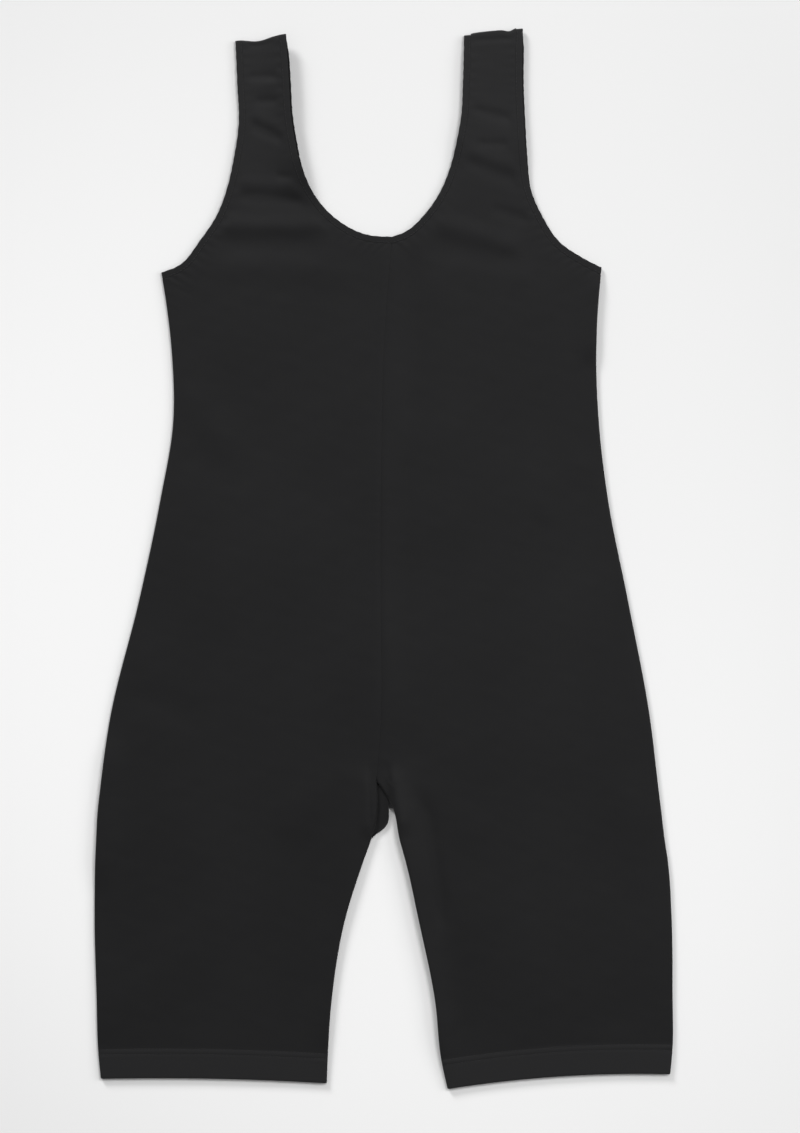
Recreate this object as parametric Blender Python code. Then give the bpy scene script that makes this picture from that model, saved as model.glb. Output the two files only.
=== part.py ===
# A sleeveless dance unitard, laid flat on its back.
#
# Four panels are cut in one from shoulder to leg hem and meet at a centre seam, two side seams, two
# inseams and two shoulder seams. A turned elastic edging runs round the neck and round each armhole.
# Metres, +Z up, neck towards +Y, the wearer's left towards +X. The origin is on the floor under the
# middle of the garment.

import bmesh
import bpy
import numpy as np

GARMENT = "dance_unitard"

# The sizes from here on are in millimetres, and MM turns them into metres.
MM = 0.001

WALL = 1.0  # one thickness of the stretch knit
HEM_WALL = 1.6  # the leg hem is turned up, so it is two thick
HEM_DEPTH = 25.0  # from the leg opening up to the hem stitching
HEM_EASE = 0.4  # rounding of the fold at the leg opening
HEM_STEP = 0.4  # how much the single cloth lies lower just above the hem stitching
GAP = 0.3  # left between two pieces that are sewn together
EDGING_WIDTH = 6.0  # the turned elastic round neck and armholes
EDGING_BEVEL = 0.5  # rounding of the edging's long sides

LAYER = 1.7  # height of the front, or of the back, along its seams
MIDDLE = LAYER + GAP / 2  # height of the surface between front and back
SETTLE = 0.5  # how much the front lies lower away from its seams
SETTLE_REACH = 26.0  # distance from a seam over which it settles
FOLD_REACH = 9.0  # distance from a seam over which a fold fades in
FOLD_FLOOR = 0.35  # the front's height where a trough is so deep that it meets the back
SEAM_VALLEY = 0.4  # the front dips by this much into the centre seam
BACK_SLIP = 1.5  # the back of each strap lies this far to the wearer's left of its front
STRAP_ROOT = 300.0  # height along the garment where the straps begin

BODY_STEP = 21.0  # between grid rows, legs and trunk
STRAP_STEP = 8.5  # between grid rows, from the underarm up
FRONT_COLUMNS = 4  # between the columns that lie close to the two edges of a panel
BACK_COLUMNS = 1
SEAM_TURN = np.radians([0, 45, 90])  # how far the columns at a seam have turned upwards
EDGE_FLAT = (8.0, 22.0)  # distances from an edge of the next two columns
EDGE_SHARE = (0.2, 0.36)  # and the most of the panel's width that each may take

# Each row is one section of a panel, from the centre outwards. Its inner end is on the inseam, the
# centre seam or the neckline, and its outer end on the side seam or the armhole. The middle of the
# section hangs lower than its ends by the dip.
SECTION_COLUMNS = ("section", "inner_x", "inner_y", "outer_x", "outer_y", "dip")
RIGHT_SECTIONS = [
    ("hem", -48.5, -445.3, -240.6, -441.5, -2.0),
    ("hem stitching", -47.6, -420.3, -242.9, -416.5, -1.0),
    ("low thigh", -44.4, -375.0, -244.2, -373.0, 0),
    ("mid thigh", -33.2, -307.0, -245.9, -306.0, 0),
    ("high thigh", -17.2, -256.0, -245.2, -256.0, 0),
    ("low fork", -10.8, -238.0, -244.4, -238.0, 0),
    ("fork", -6.4, -221.0, -243.6, -220.0, 0),
    ("crotch", -6.3, -188.8, -240.4, -190.0, 0),
    ("hip", -2.6, -138.0, -233.2, -138.0, 0),
    ("high hip", -2.6, -35.0, -208.0, -35.0, 0),
    ("belly", -2.6, 50.0, -190.0, 50.0, 2),
    ("waist", -1.5, 120.0, -179.0, 118.0, 6),
    ("ribs", 0.0, 178.0, -180.2, 174.0, 14),
    ("chest", 3.2, 228.0, -184.4, 213.0, 27),
    ("neck point", 6.8, 273.7, -189.2, 243.3, 40),
    ("low scoop", -16.2, 275.9, -173.4, 249.8, 34),
    ("scoop", -43.9, 291.6, -155.7, 271.2, 22),
    ("high scoop", -60.9, 312.0, -142.1, 291.6, 12),
    ("strap root", -70.4, 332.4, -133.8, 313.0, 6),
    ("low strap", -75.3, 354.0, -127.4, 341.0, 2),
    ("mid strap", -78.8, 377.0, -123.4, 370.0, 0),
    ("high strap", -80.4, 405.0, -124.6, 403.0, 0),
    ("shoulder", -83.0, 444.0, -126.2, 440.2, 0.8),
]
LEFT_SECTIONS = [
    ("hem", 54.0, -450.2, 243.2, -437.6, -4.4),
    ("hem stitching", 48.6, -425.2, 245.3, -412.6, -2.2),
    ("low thigh", 43.3, -375.0, 245.2, -373.0, 0),
    ("mid thigh", 29.5, -307.0, 244.4, -306.0, 0),
    ("high thigh", 18.2, -256.0, 241.1, -256.0, 0),
    ("low fork", 13.2, -238.0, 238.4, -238.0, 0),
    ("fork", 7.8, -212.0, 235.4, -213.0, 0),
    ("crotch", -6.3, -188.8, 232.6, -190.0, 0),
    ("hip", -2.6, -138.0, 226.4, -138.0, 0),
    ("high hip", -2.6, -35.0, 207.2, -35.0, 0),
    ("belly", -2.6, 50.0, 190.4, 50.0, 2),
    ("waist", -1.5, 120.0, 182.4, 118.0, 6),
    ("ribs", 0.0, 178.0, 180.3, 174.0, 14),
    ("chest", 3.2, 228.0, 181.7, 213.0, 27),
    ("neck point", 6.8, 273.7, 184.9, 247.4, 40),
    ("low scoop", 17.5, 277.6, 168.0, 256.2, 34),
    ("scoop", 35.0, 293.2, 149.0, 269.4, 22),
    ("high scoop", 47.6, 311.6, 134.2, 291.6, 12),
    ("strap root", 56.2, 332.4, 124.9, 313.0, 6),
    ("low strap", 61.6, 354.0, 120.5, 341.0, 2),
    ("mid strap", 65.6, 377.0, 118.6, 370.0, 0),
    ("high strap", 67.0, 405.0, 117.2, 403.0, 0),
    ("shoulder", 68.0, 446.0, 118.0, 449.4, -1.0),
]
# The seat is cut longer than the front, so its crotch lies lower and shows between the legs.
BACK_CROTCH = (4.0, -211.5)
BACK_FORK_RIGHT = (3.0, -225.0)

# Each row is a soft bell along a line: its place, from x and y, to x and y, width, and height. It is
# that high in the middle of the line and gone at both ends, and a negative height is a trough.
# Where an edge of the whole garment stands off the floor.
LIFTS = [
    ("right strap, neck edge", -79, 485, -64, 296, 18, 10.5),
    ("left strap, armhole edge", 124, 468, 119, 320, 13, 3.5),
    ("left strap, neck edge", 64, 450, 60, 330, 12, 2.5),
    ("left leg, inseam", 12, -206, 52, -458, 14, 5.5),
    ("right leg, inseam", -14, -215, -50, -452, 12, 3.0),
    ("right hip, side seam", -232, -140, -248, -290, 14, 2.5),
    ("left underarm, side seam", 190, 252, 180, 160, 14, 2.5),
]
# Where the front alone folds.
FOLDS = [
    ("right strap, top", -124, 416, -84, 413, 6, -1.3),
    ("right strap, upper", -122, 398, -84, 393, 7, 1.3),
    ("right strap, slanting", -120, 376, -78, 354, 7, -1.5),
    ("right strap, low", -128, 346, -76, 342, 8, 1.0),
    ("right strap, root", -150, 287, -46, 285, 10, 2.0),
    ("right strap, below the root", -150, 266, -46, 266, 10, -1.4),
    ("right chest, long", -160, 247, -10, 240, 12, 0.8),
    ("left strap, upper", 72, 388, 110, 376, 6, -1.3),
    ("left strap, middle", 70, 366, 116, 356, 8, 1.0),
    ("left strap, slanting", 66, 346, 118, 324, 8, -1.4),
    ("left strap, root", 40, 290, 124, 264, 10, 1.8),
    ("left strap, below the root", 36, 270, 116, 244, 11, -1.3),
    ("left chest, slanting", 44, 250, 132, 234, 13, 0.8),
    ("chest, beside the centre seam", 25, 276, 19, 96, 13, -1.2),
    ("chest, outer ridge", 60, 262, 44, 60, 20, 1.2),
    ("belly, beside the centre seam", 14, 120, 9, -110, 12, -0.9),
    ("right waist, slanting", -176, 150, -126, 84, 13, 1.4),
    ("right waist, lower", -172, 98, -110, 60, 16, -0.7),
    ("left waist, slanting", 176, 96, 126, 28, 15, 1.2),
    ("right hip, level", -226, -112, -148, -142, 13, -1.1),
    ("right hip, upright", -206, -40, -196, -260, 22, 0.9),
    ("right leg, from the crotch", -10, -172, -98, -240, 15, 1.5),
    ("left leg, from the crotch", 4, -172, 94, -252, 15, 1.5),
    ("left leg, along the inseam", 24, -196, 48, -330, 9, -1.2),
    ("left hip, upright", 194, -40, 212, -250, 20, 1.3),
]

KNIT_COLOUR = (0.0185, 0.0185, 0.0195, 1.0)
EDGING_COLOUR = (0.022, 0.022, 0.023, 1.0)
KNIT_ROUGHNESS = 0.82
EDGING_ROUGHNESS = 0.7


def section_columns(sections, *names):
    """The named columns of a table of sections, side by side in an array."""
    wanted = [SECTION_COLUMNS.index(name) for name in names]
    return np.array([[row[index] for index in wanted] for row in sections], float)


def section_index(name):
    return [row[0] for row in RIGHT_SECTIONS].index(name)


CROTCH, NECK_POINT = section_index("crotch"), section_index("neck point")
SHOULDER = len(RIGHT_SECTIONS) - 1


def smooth(share):
    """0 below 0, 1 above 1, and an even S between."""
    share = np.clip(share, 0, 1)
    return share * share * (3 - 2 * share)


def bells(table, places):
    """The height, over an array of places in plan, of all the soft bells in a table."""
    total = np.zeros(places.shape[:-1])
    for name, from_x, from_y, to_x, to_y, width, height in table:
        start, line = np.array([from_x, from_y]), np.array([to_x - from_x, to_y - from_y])
        length = np.hypot(*line)
        along = (places - start) @ line / length**2
        aside = (places - start) @ np.array([-line[1], line[0]]) / length
        ends = smooth(2 - 2 * np.abs(2 * along - 1))
        total += height * ends * np.exp(-((aside / width) ** 2))
    return total


def middle_height(places):
    """Height of the surface between front and back."""
    return MIDDLE + bells(LIFTS, places)


def unit(vectors):
    return vectors / np.linalg.norm(vectors, axis=-1, keepdims=True)


def turned(vectors, side):
    """Plan vectors turned a quarter, clockwise where the side is 1."""
    return side * np.stack([vectors[..., 1], -vectors[..., 0]], axis=-1)


def cross(one, other):
    return one[..., 0] * other[..., 1] - one[..., 1] * other[..., 0]


def curve_through(points, breaks, stations):
    """A smooth curve through the points, which may turn sharply at the breaks.

    A station counts in points: 2.5 is halfway from the third point to the fourth.
    """
    steps = np.diff(points, axis=0)
    lengths = np.hypot(steps[:, 0], steps[:, 1])[:, None]
    chords = steps / lengths
    leaving, arriving = chords.copy(), chords.copy()
    for first, last in zip(breaks[:-1], breaks[1:], strict=True):
        if last - first < 2:
            continue
        before, after = slice(first, last - 1), slice(first + 1, last)
        between = (lengths[after] * chords[before] + lengths[before] * chords[after]) / (
            lengths[after] + lengths[before]
        )
        leaving[after], arriving[before] = between, between
        leaving[first] = (3 * chords[first] - between[0]) / 2
        arriving[last - 1] = (3 * chords[last - 1] - between[-1]) / 2
    index = np.minimum(stations.astype(int), len(points) - 2)
    part = (stations - index)[:, None]
    span = lengths[index]
    return (
        points[index] * (1 + 2 * part) * (1 - part) ** 2
        + span * leaving[index] * part * (1 - part) ** 2
        + points[index + 1] * (3 - 2 * part) * part**2
        + span * arriving[index] * part**2 * (part - 1)
    )


def row_stations(inner, outer):
    """Where the grid rows lie, counted in sections, with close rows at the hem and the shoulder."""
    lengths = np.maximum(
        np.linalg.norm(np.diff(inner, axis=0), axis=1),
        np.linalg.norm(np.diff(outer, axis=0), axis=1),
    )
    stations = []
    for index, length in enumerate(lengths):
        step = BODY_STEP if index < NECK_POINT else STRAP_STEP
        parts = max(1, int(np.ceil(length / step)))
        stations += [index + part / parts for part in range(parts)]
    hem_rows = [HEM_EASE / lengths[0], 1 + 1.5 / lengths[1]]
    turn = LAYER * (1 - np.cos(SEAM_TURN))
    shoulder_rows = [SHOULDER - distance / lengths[-1] for distance in turn]
    return np.array(sorted(stations + hem_rows + shoulder_rows))


def insets(edge, first_fold, last_fold, side):
    """For each point of an edge, the plan vector that leads 1 mm into the cloth.

    It is square to the edge, but at both ends it follows the seam that the edge crosses there.
    """
    along = unit(np.gradient(edge, axis=0))
    vectors = turned(along, side)
    for end, fold in ((0, first_fold), (-1, last_fold)):
        vectors[end] = fold / abs(cross(along[end], fold))
    return vectors


class Side:
    """One half of the garment, front or back: its outline and the rows that cross it."""

    def __init__(self, sections, side, back):
        inner = section_columns(sections, "inner_x", "inner_y")
        outer = section_columns(sections, "outer_x", "outer_y")
        dip = section_columns(sections, "dip")
        self.side = side
        self.stations = row_stations(inner, outer)
        if back:
            inner[CROTCH] = BACK_CROTCH
            if side < 0:
                inner[CROTCH - 1] = BACK_FORK_RIGHT
        inner = curve_through(inner, (0, CROTCH, NECK_POINT, SHOULDER), self.stations)
        outer = curve_through(
            np.hstack([outer, dip]), (0, NECK_POINT, SHOULDER), self.stations
        )
        self.inner, self.outer, self.dip = inner, outer[:, :2], outer[:, 2]
        if back:
            self.inner = self.inner + self.slip(self.inner)
            self.outer = self.outer + self.slip(self.outer)
        self.top = np.flatnonzero(self.stations >= NECK_POINT)
        self.find_insets()

    def slip(self, edge):
        """How far the back of the strap has slid sideways, none at either end."""
        top = edge[-1, 1]
        share = smooth((edge[:, 1] - STRAP_ROOT) / 50) * smooth((top - edge[:, 1]) / 20)
        return np.stack([BACK_SLIP * share, 0 * share], axis=1)

    def find_insets(self):
        """The vectors into the cloth along the neckline and along the armhole."""
        first = self.top[0]
        down_centre = unit(self.inner[first - 1] - self.inner[first])
        down_side = unit(self.outer[first - 1] - self.outer[first])
        shoulder = unit(self.outer[-1] - self.inner[-1])
        self.neck_inset = insets(self.inner[self.top], down_centre, shoulder, self.side)
        self.arm_inset = insets(self.outer[self.top], down_side, -shoulder, -self.side)

    def cloth_edges(self):
        """The inner and outer edge of the panel itself, inside the edgings and clear of the seam."""
        inner, outer = self.inner.copy(), self.outer.copy()
        depth = EDGING_WIDTH + GAP
        centre = (self.stations >= CROTCH) & (self.stations <= NECK_POINT)
        inner[self.top] += depth * self.neck_inset
        outer[self.top] += depth * self.arm_inset
        inner[centre, 0] += self.side * GAP / 2
        return inner, outer


def lies_closed(panel_side):
    """For each row, whether its inner and its outer end are on a seam that joins front and back."""
    return (
        (panel_side.stations <= CROTCH).astype(float),
        (panel_side.stations <= NECK_POINT).astype(float),
    )


def edge_distances(width):
    """For each row of a panel, how far its first columns lie from the edge."""
    seam = np.broadcast_to(LAYER * (1 - np.cos(SEAM_TURN)), (len(width), len(SEAM_TURN)))
    flat = np.minimum(EDGE_FLAT, width[:, None] * np.array(EDGE_SHARE))
    return np.hstack([seam, flat])


def panel_grid(panel_side, columns):
    """The plan of a panel's grid, with how it turns at its edges.

    Returns the places, the distance of each from the nearest edge, the angle that the surface
    has turned by there, and the plan direction that it turns away to.
    """
    inner, outer = panel_side.cloth_edges()
    hang = np.stack([0 * panel_side.dip, 4 * panel_side.dip], axis=1)
    share = {}
    away = {}
    width = {}
    for end, edge, start in (
        ("inner", inner, outer - inner - hang),
        ("outer", outer, inner - outer - hang),
    ):
        along = unit(np.gradient(edge, axis=0))
        length = np.linalg.norm(start, axis=1)
        lean = np.maximum(np.abs(cross(unit(start), along)), 0.5)
        width[end] = length * lean
        share[end] = edge_distances(width[end]) / width[end][:, None]
        toward = 1 if end == "inner" else -1
        away[end] = turned(along, -panel_side.side * toward)
    between = np.linspace(0, 1, columns + 2)[1:-1][None, :]
    first, last = share["inner"][:, -1:], 1 - share["outer"][:, -1:]
    across = np.hstack(
        [share["inner"], first + (last - first) * between, 1 - share["outer"][:, ::-1]]
    )[:, :, None]
    places = inner[:, None] * (1 - across) + outer[:, None] * across
    places = places - hang[:, None] * across * (1 - across)
    across = across[:, :, 0]
    near = np.minimum(across * width["inner"][:, None], (1 - across) * width["outer"][:, None])

    rows, cells = across.shape
    turn = np.full((rows, cells), np.pi / 2)
    direction = np.zeros((rows, cells, 2))
    seam = len(SEAM_TURN)
    closed_inner, closed_outer = lies_closed(panel_side)
    fall = np.pi / 2 - SEAM_TURN[None, :]
    turn[:, :seam] -= closed_inner[:, None] * fall
    turn[:, -seam:] -= closed_outer[:, None] * fall[:, ::-1]
    direction[:, : cells // 2] = away["inner"][:, None]
    direction[:, cells // 2 :] = away["outer"][:, None]

    turn[-seam:] = SEAM_TURN[::-1, None]
    direction[-seam:] = turned(unit(outer[-1] - inner[-1]), -panel_side.side)
    return places, near, turn, direction


def panel_walls(panel_side, back):
    """The outer and inner surface of a panel, each a grid of points in millimetres."""
    places, near, turn, direction = panel_grid(
        panel_side, BACK_COLUMNS if back else FRONT_COLUMNS
    )
    stations = panel_side.stations[:, None]
    from_hem = np.linalg.norm(places - places[:1], axis=-1)
    wall = np.where(stations <= 1, HEM_WALL, WALL)
    height = np.full(near.shape, LAYER)
    if not back:
        above_hem = smooth((from_hem - HEM_DEPTH) / SETTLE_REACH)
        height = height - SETTLE * above_hem * smooth(near / SETTLE_REACH)
        height = height - HEM_STEP * (stations > 1) * (1 - above_hem)
        height = height + above_hem * smooth(near / FOLD_REACH) * bells(FOLDS, places)
        height = np.maximum(height, FOLD_FLOOR)
        on_centre = (stations > CROTCH) & (stations <= NECK_POINT)
        height[:, :2] -= SEAM_VALLEY * on_centre
    level = height * np.sin(turn) + GAP / 2
    normal = np.concatenate(
        [direction * np.cos(turn)[..., None], np.sin(turn)[..., None]], axis=-1
    )
    outer = np.concatenate([places, level[..., None]], axis=-1)
    inner = outer - wall[..., None] * normal
    ease = HEM_EASE * (stations <= 0)
    outer, inner = outer - ease[..., None] * normal, inner + ease[..., None] * normal
    flip = -1 if back else 1
    for surface in (outer, inner):
        surface[..., 2] = middle_height(surface[..., :2]) + flip * surface[..., 2]
    return outer, inner


def grid_faces(rows, cells, start, closed):
    """Quads of a grid of rows and cells, each row a closed ring where asked."""
    index = start + np.arange(rows * cells).reshape(rows, cells)
    if closed:
        index = np.hstack([index, index[:, :1]])
        index = np.vstack([index, index[:1]])
    corners = (index[:-1, :-1], index[1:, :-1], index[1:, 1:], index[:-1, 1:])
    return np.stack(corners, axis=-1).reshape(-1, 4)


def wall_mesh(outer, inner):
    """Points and faces of a wall between two like grids, closed all round its rim."""
    rows, cells = outer.shape[:2]
    count = rows * cells
    index = np.arange(count).reshape(rows, cells)
    rim = np.concatenate(
        [index[0, :-1], index[:-1, -1], index[-1, :0:-1], index[:0:-1, 0]]
    )
    following = np.roll(rim, -1)
    faces = np.vstack(
        [
            grid_faces(rows, cells, 0, False),
            grid_faces(rows, cells, count, False)[:, ::-1],
            np.stack([rim, following, following + count, rim + count], axis=-1),
        ]
    )
    return np.vstack([outer.reshape(-1, 3), inner.reshape(-1, 3)]), faces


def section_frames(edge, inset, upwards):
    """Middle, half width and half thickness of the edging at each point of an edge."""
    ends = []
    for depth in (0, EDGING_WIDTH):
        plan = edge + depth * inset
        height = middle_height(plan) + upwards * (GAP + LAYER) / 2
        ends.append(np.concatenate([plan, height[:, None]], axis=1))
    rise = np.array([0, 0, upwards * LAYER / 2])
    middle = (ends[0] + ends[1]) / 2
    return middle, (ends[1] - ends[0]) / 2, np.broadcast_to(rise, middle.shape)


def wrap_frames(edge, inset, away):
    """The same where the edging folds over from front to back, away from the cloth."""
    middle, half, _ = section_frames(edge[None], inset[None], 0)
    angle = np.radians([45, 0, -45])[:, None]
    radial = np.append(away, 0) * np.cos(angle) + np.array([0, 0, 1]) * np.sin(angle)
    return middle + radial * (GAP + LAYER) / 2, np.repeat(half, 3, axis=0), radial * LAYER / 2


def edge_run(panel_side, which):
    """An edging's outline from the body end to the shoulder, with how it folds at both ends.

    Each end stops short of its fold by the room that the fold needs.
    """
    if which == "neck":
        edge, inset = panel_side.inner[panel_side.top], panel_side.neck_inset
    else:
        edge, inset = panel_side.outer[panel_side.top], panel_side.arm_inset
    keep = len(SEAM_TURN)
    room = LAYER + GAP / 2
    along = unit(np.gradient(edge, axis=0))
    lean = [abs(cross(along[end], unit(inset[end]))) for end in (0, -1)]
    top = edge[-1] - along[-1] * room / lean[1]
    edge_kept, inset_kept = edge[:-keep], inset[:-keep]
    if which == "arm":
        bottom = edge[0] + along[0] * room / lean[0]
        edge_kept = np.vstack([bottom, edge_kept[1:]])
    return (
        np.vstack([edge_kept, top]),
        np.vstack([inset_kept, inset[-1]]),
        turned(unit(inset[-1]), -panel_side.side if which == "neck" else panel_side.side),
        turned(unit(inset[0]), -panel_side.side),
    )


def armhole_frames(front, back):
    """Sections of one armhole's edging, all the way round."""
    edge, inset, over_shoulder, under_arm = edge_run(front, "arm")
    back_edge, back_inset, _, _ = edge_run(back, "arm")
    return [
        section_frames(edge[::-1], inset[::-1], 1),
        wrap_frames(edge[0], inset[0], under_arm),
        section_frames(back_edge, back_inset, -1),
        [part[::-1] for part in wrap_frames(edge[-1], inset[-1], over_shoulder)],
    ]


def neck_frames(front_right, front_left, back_right, back_left):
    """Sections of the neck's edging, down and up the front, then down and up the back."""
    frames = []
    for right, left, upwards in ((front_right, front_left, 1), (back_left, back_right, -1)):
        edge, inset, _, _ = edge_run(right, "neck")
        other_edge, other_inset, over_shoulder, _ = edge_run(left, "neck")
        inset[0] = (inset[0] + other_inset[0]) / 2
        frames.append(section_frames(edge[::-1], inset[::-1], upwards))
        frames.append(section_frames(other_edge[1:], other_inset[1:], upwards))
        wrap = wrap_frames(other_edge[-1], other_inset[-1], over_shoulder)
        frames.append(wrap if upwards > 0 else [part[::-1] for part in wrap])
    return frames


def edging_mesh(frames):
    """Points and faces of an edging: a flat section with eased sides, carried round a loop."""
    middle, half, rise = (np.vstack([frame[part] for frame in frames]) for part in range(3))
    side = 1 - EDGING_BEVEL / (EDGING_WIDTH / 2)
    section = np.array([(-side, 1), (side, 1), (1, 0), (side, -1), (-side, -1), (-1, 0)])
    points = (
        middle[:, None]
        + section[None, :, :1] * half[:, None]
        + section[None, :, 1:] * rise[:, None]
    )
    return points.reshape(-1, 3), grid_faces(len(middle), len(section), 0, True)


def cloth_material(name, colour, roughness):
    material = bpy.data.materials.new(name)
    material.use_nodes = True
    shader = material.node_tree.nodes["Principled BSDF"]
    shader.inputs["Base Color"].default_value = colour
    shader.inputs["Roughness"].default_value = roughness
    shader.inputs["Metallic"].default_value = 0.0
    material.diffuse_color = colour
    return material


def add_piece(collection, name, points, faces, material):
    """A named object from points in millimetres, its faces turned outwards."""
    mesh = bpy.data.meshes.new(name)
    mesh.from_pydata((points * MM).tolist(), [], faces.tolist())
    shape = bmesh.new()
    shape.from_mesh(mesh)
    bmesh.ops.recalc_face_normals(shape, faces=shape.faces)
    shape.to_mesh(mesh)
    shape.free()
    mesh.materials.append(material)
    mesh.shade_smooth()
    piece = bpy.data.objects.new(name, mesh)
    collection.objects.link(piece)
    return piece


def main():
    for old in list(bpy.data.objects):
        bpy.data.objects.remove(old)
    collection = bpy.data.collections.new(GARMENT)
    bpy.context.scene.collection.children.link(collection)

    halves = {}
    for name, sections, side in (("right", RIGHT_SECTIONS, -1), ("left", LEFT_SECTIONS, 1)):
        for layer in ("front", "back"):
            half = Side(sections, side, layer == "back")
            halves[layer, name] = half
            piece = f"{layer}_{name}"
            material = cloth_material(piece, KNIT_COLOUR, KNIT_ROUGHNESS)
            add_piece(
                collection, piece, *wall_mesh(*panel_walls(half, layer == "back")), material
            )
    for name in ("right", "left"):
        piece = f"armhole_edging_{name}"
        frames = armhole_frames(halves["front", name], halves["back", name])
        material = cloth_material(piece, EDGING_COLOUR, EDGING_ROUGHNESS)
        add_piece(collection, piece, *edging_mesh(frames), material)
    frames = neck_frames(
        halves["front", "right"],
        halves["front", "left"],
        halves["back", "right"],
        halves["back", "left"],
    )
    material = cloth_material("neck_edging", EDGING_COLOUR, EDGING_ROUGHNESS)
    add_piece(collection, "neck_edging", *edging_mesh(frames), material)


main()
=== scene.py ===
import bpy
import numpy as np
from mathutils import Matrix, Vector


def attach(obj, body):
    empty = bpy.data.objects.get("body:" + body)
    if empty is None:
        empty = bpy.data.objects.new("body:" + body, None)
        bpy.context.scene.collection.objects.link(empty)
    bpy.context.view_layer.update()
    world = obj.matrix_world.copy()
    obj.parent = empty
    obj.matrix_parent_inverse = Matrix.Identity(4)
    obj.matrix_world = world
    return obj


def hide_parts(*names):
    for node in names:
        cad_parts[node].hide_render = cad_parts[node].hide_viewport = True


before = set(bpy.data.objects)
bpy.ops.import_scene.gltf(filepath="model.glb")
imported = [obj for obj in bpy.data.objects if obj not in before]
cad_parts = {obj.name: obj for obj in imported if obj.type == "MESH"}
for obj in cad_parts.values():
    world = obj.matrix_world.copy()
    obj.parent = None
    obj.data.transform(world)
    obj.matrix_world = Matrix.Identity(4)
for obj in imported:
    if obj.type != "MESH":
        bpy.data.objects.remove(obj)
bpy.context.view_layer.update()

# Dance unitard laid flat on its back, seen from straight above. Sizes of the cloth are in
# millimetres, x to the wearer's left, y towards the neck, z up from the floor. The sizes of the
# materials, the floor and the camera are in metres.
mm = 0.001

# the garment's own sizes: change the cloth or how it lies here
garment = {
    "layer": 1.82,  # height of the front, or of the back, along a seam
    "gap": 0.06,  # between two pieces that are sewn together
    "cloth": 0.7,
    "hemCloth": 1.4,
    "hemDepth": 25.0,
    "hemEnd": 1.2,  # the doubled cloth thins out over this length
    "hemRound": 0.9,  # its fold is rounded over this one
    "hemTone": 2.5,  # and its paler tone fades over this one
    "hemStep": 0.16,  # the single cloth lies lower just above the hem
    "hemStepWidth": 2.4,
    "settle": 0.5,  # the front lies lower away from its seams
    "settleReach": 26.0,
    "foldReach": 9.0,
    "foldFloor": 0.4,  # a trough stops where the front meets the back
    "foldSoftness": 0.12,
    "seamValley": 0.32,  # depth of the centre seam
    "seamValleyWidth": 1.5,
    "backSlip": 1.5,  # the back of each strap has slid this far sideways
    "strapRoot": 300.0,  # from here upwards
    "slipReach": (50, 20),  # it grows over the first length and ends over the second
    "raggedReach": 9.0,  # how far from a shoulder seam its raggedness shows
    "backCrotch": (4.0, -211.5),
    "backFork": (3.0, -225.0),  # of the right leg: its back shows beside the front here
}

# how fine the surfaces are
fineness = {
    "bodyStep": 3.2,
    "strapStep": 1.9,
    "seamColumns": 7,
    "edgeColumns": 12,
    "frontColumns": 62,
    "backColumns": 26,
    "edgeReach": 22.0,  # the edge columns lie this close to their edge
    "edgeShare": 0.26,  # or within this share of the width, where that is less
    "neckRoom": 12.0,  # no row lies this close below the neck point
    "hemRows": (0.12, 0.35, 0.7, 1.1),  # rows close to the fold of the hem
    "stitchRows": (17.6, 28.0, 0.55),  # rows at its stitching: first, last and step
}

# sections from the centre outwards: name, inner x and y, outer x and y, dip of the middle
rightSections = [
    ("hem", -48.5, -445.3, -240.6, -441.5, -2.0),
    ("hem stitching", -47.6, -420.3, -242.9, -416.5, -1.0),
    ("low thigh", -44.4, -375.0, -244.2, -373.0, 0),
    ("mid thigh", -33.2, -307.0, -245.9, -306.0, 0),
    ("high thigh", -17.2, -256.0, -245.2, -256.0, 0),
    ("low fork", -10.8, -238.0, -244.4, -238.0, 0),
    ("fork", -6.4, -221.0, -243.6, -220.0, 0),
    ("crotch", -6.3, -188.8, -240.4, -190.0, 0),
    ("hip", -2.6, -138.0, -233.2, -138.0, 0),
    ("high hip", -2.6, -35.0, -208.0, -35.0, 0),
    ("belly", -2.6, 50.0, -190.0, 50.0, 2),
    ("waist", -1.5, 120.0, -179.0, 118.0, 6),
    ("ribs", 0.0, 178.0, -180.2, 174.0, 14),
    ("chest", 3.2, 228.0, -184.4, 213.0, 27),
    ("neck point", 6.8, 273.7, -189.2, 243.3, 40),
    ("low scoop", -16.2, 275.9, -173.4, 249.8, 34),
    ("scoop", -43.9, 291.6, -155.7, 271.2, 22),
    ("high scoop", -60.9, 312.0, -142.1, 291.6, 12),
    ("strap root", -70.4, 332.4, -133.8, 313.0, 6),
    ("low strap", -75.3, 354.0, -127.4, 341.0, 2),
    ("mid strap", -78.8, 377.0, -123.4, 370.0, 0),
    ("high strap", -80.4, 405.0, -124.6, 403.0, 0),
    ("shoulder", -83.0, 444.0, -126.2, 440.2, 0.8),
]
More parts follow.
